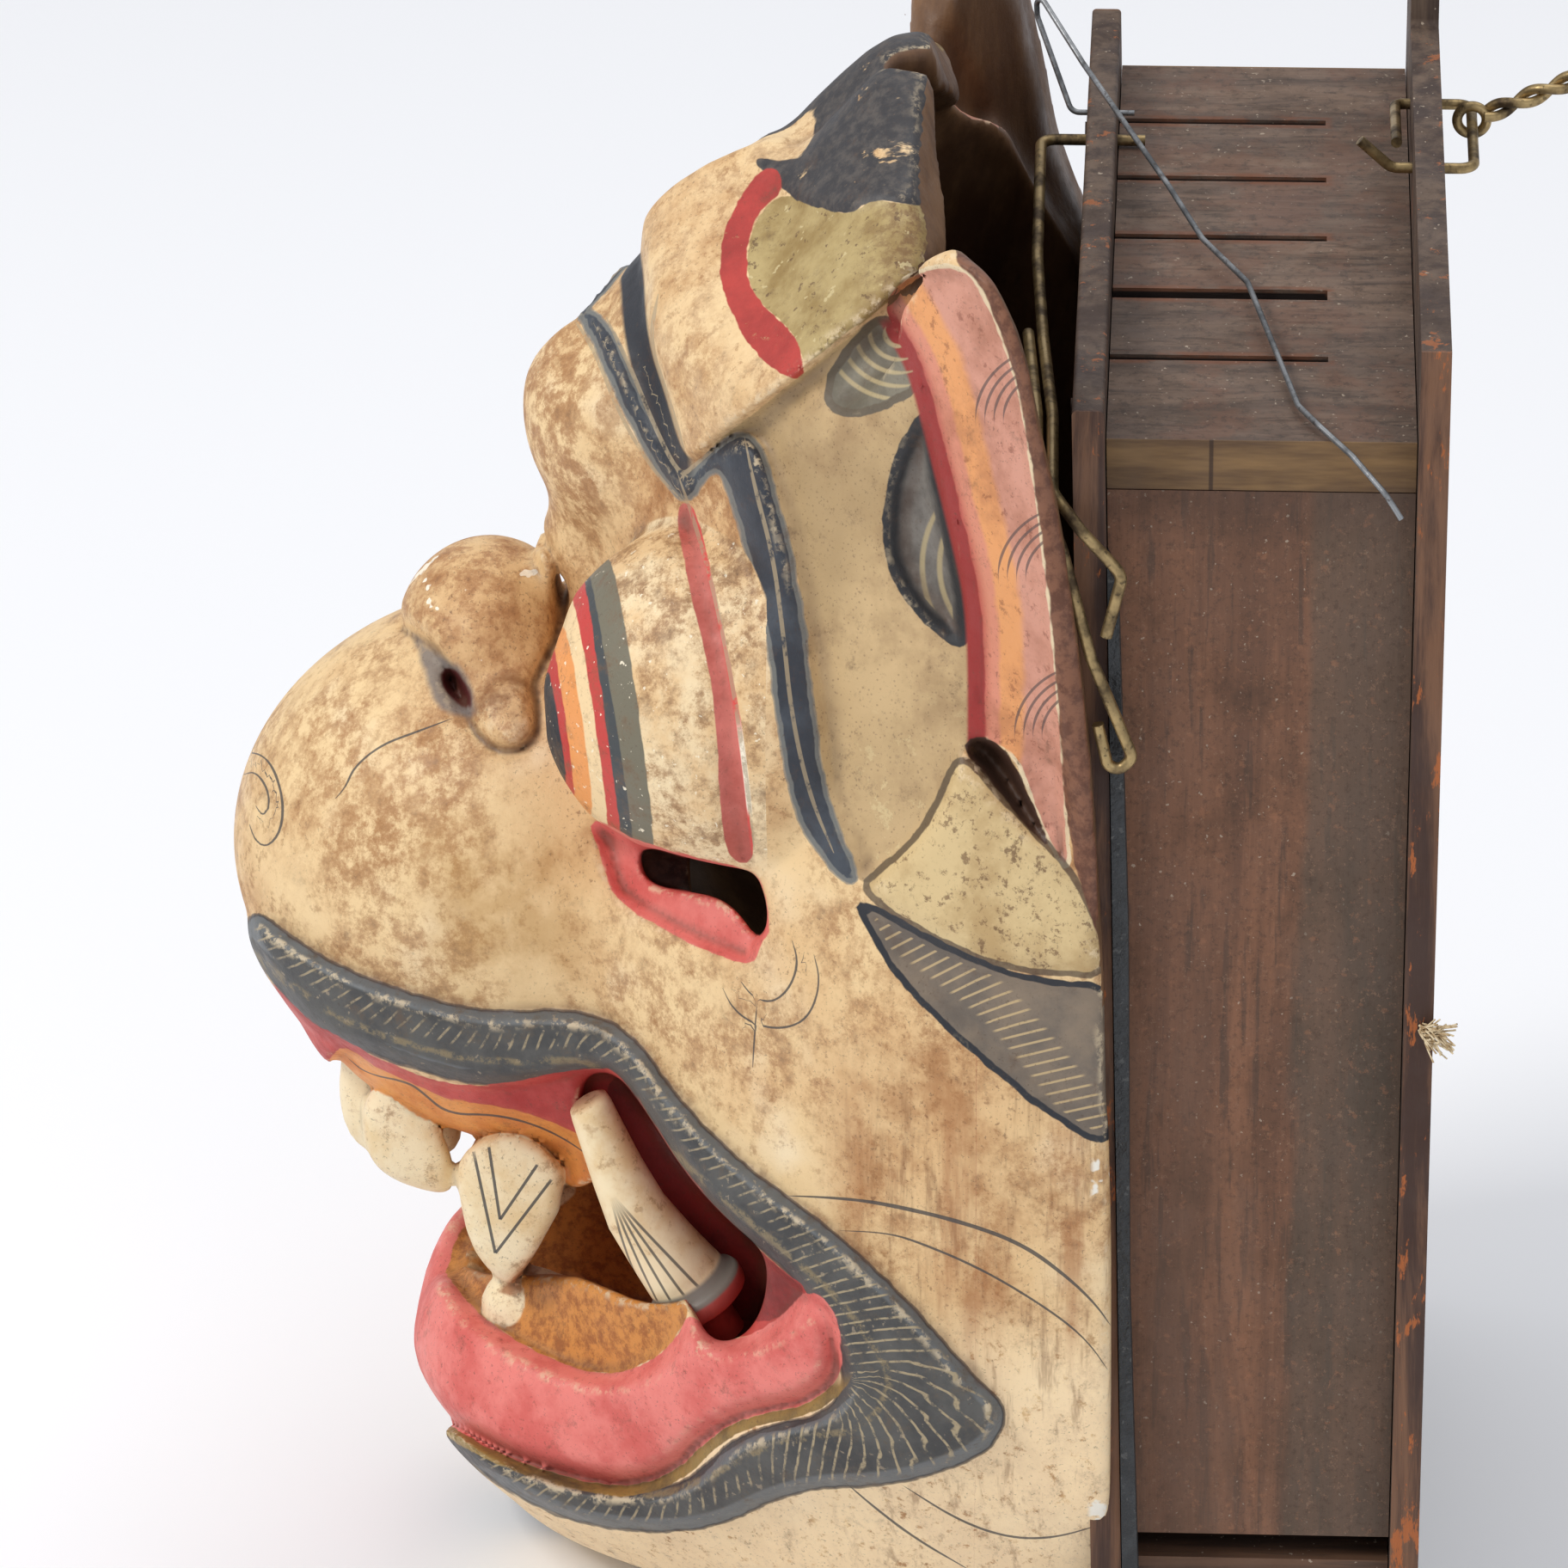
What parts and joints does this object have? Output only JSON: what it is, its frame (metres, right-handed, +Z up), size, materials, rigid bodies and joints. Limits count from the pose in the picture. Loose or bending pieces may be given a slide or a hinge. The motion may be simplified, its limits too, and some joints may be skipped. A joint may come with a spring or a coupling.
{
  "type": "carved mask on a wooden box",
  "caption": "Carved and painted demon-monkey mask with round eyes and tusks, wired to a shallow wooden wall box with vent cuts and a swinging wire hanger.",
  "frame": {"origin": "on the back face of the rear board, on the middle plane, level with the underside of the side panels", "axes": "+Z up, the face looks towards -Y, the mask's own left is +X, metres"},
  "size_m": [0.1908, 0.244, 0.288],
  "materials": {
    "painted_wood": "worn paint over gesso",
    "old_board": "dark stained, worn",
    "iron_nail": "rusty",
    "black_filler": "matte",
    "brass_wire": "dull patina",
    "grey_wire": "dull",
    "frayed_fibre": "frayed"
  },
  "bodies": {
    "mask_box": {"mask_shell": "painted_wood", "tusk_left": "painted_wood", "tusk_right": "painted_wood", "front_board": "old_board", "rear_board": "old_board", "top_board": "old_board", "bottom_board": "old_board", "side_panel_left": "old_board", "side_panel_right": "old_board", "front_nails": "iron_nail", "rear_nails": "iron_nail", "seam_filler_left": "black_filler", "seam_filler_right": "black_filler", "tie_wire_a": "brass_wire", "tie_wire_b": "brass_wire", "steel_wire": "grey_wire", "hanger_staple": "brass_wire", "fibre_tuft": "frayed_fibre"},
    "hanger": {"hanger_tail": "brass_wire"}
  },
  "joints": [
    {"name": "hanger_swing", "type": "hinge", "parent": "mask_box", "child": "hanger", "pos_m": [-0.036, 0.0057, 0.216], "axis": [1, 0, 0], "range_deg": [-110, 62]}
  ]
}
